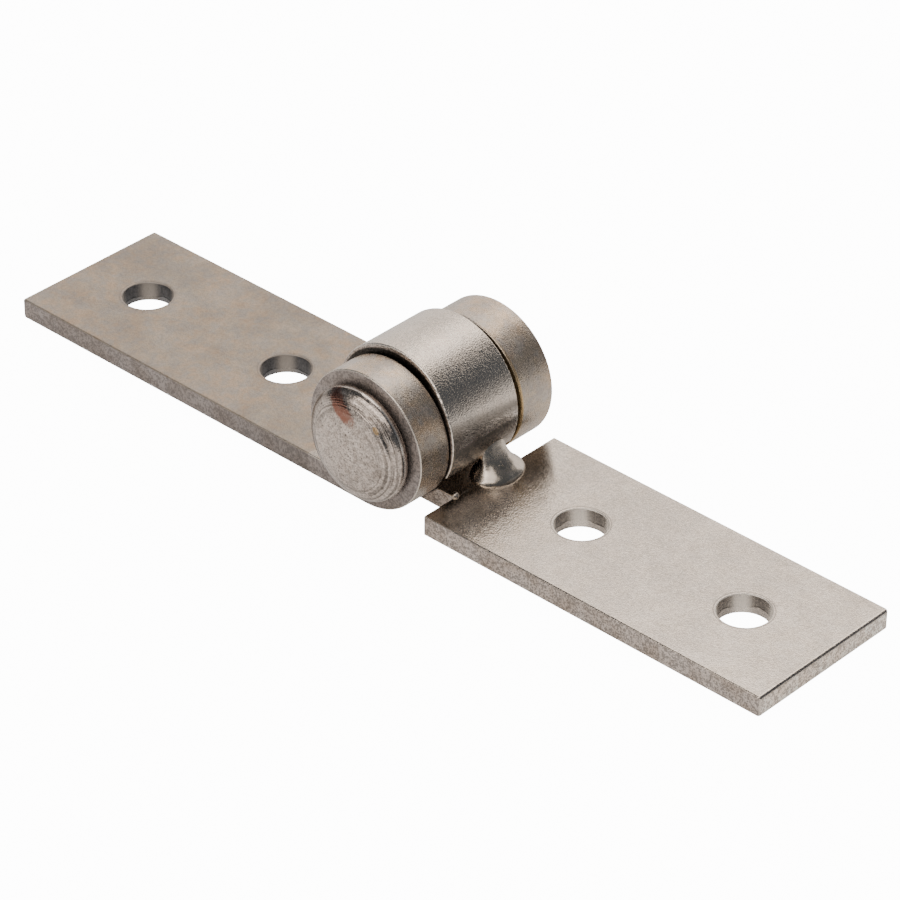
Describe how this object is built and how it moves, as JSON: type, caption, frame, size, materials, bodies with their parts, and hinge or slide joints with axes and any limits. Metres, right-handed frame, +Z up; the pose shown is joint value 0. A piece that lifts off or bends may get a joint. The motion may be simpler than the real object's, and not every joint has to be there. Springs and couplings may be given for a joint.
{
  "type": "folding door hinge",
  "caption": "Strap hinge of two punched strips rolled round a riveted pin, with a rolled centre knuckle closed by a weld.",
  "frame": {"origin": "on the leaves' underside, under the pin's axis, at the middle of the box round the open hinge", "axes": "+X along the open hinge towards the leaf with the centre knuckle, +Y along the pin away from its domed head, +Z up out of the leaves' screwed face"},
  "size_m": [0.132, 0.0298, 0.021],
  "materials": {
    "outer_leaf_steel": "rolled steel strip, satin, mottled warm brown and grey",
    "centre_leaf_steel": "rolled steel strip, satin, lighter silver grey with fine scratches",
    "pin_steel": "turned steel, satin, with turning marks round the head",
    "weld_metal": "melted steel bead, smooth and glossy"
  },
  "bodies": {
    "outer_leaf": {"outer_knuckle_leaf": "outer_leaf_steel", "hinge_pin": "pin_steel"},
    "centre_leaf": {"centre_knuckle_leaf": "centre_leaf_steel", "knuckle_weld": "weld_metal"}
  },
  "joints": [
    {"name": "leaf_fold", "type": "hinge", "parent": "outer_leaf", "child": "centre_leaf", "pos_m": [0, 0.00165, 0.0099], "axis": [0, 1, 0], "range_deg": [-190, 90]}
  ]
}
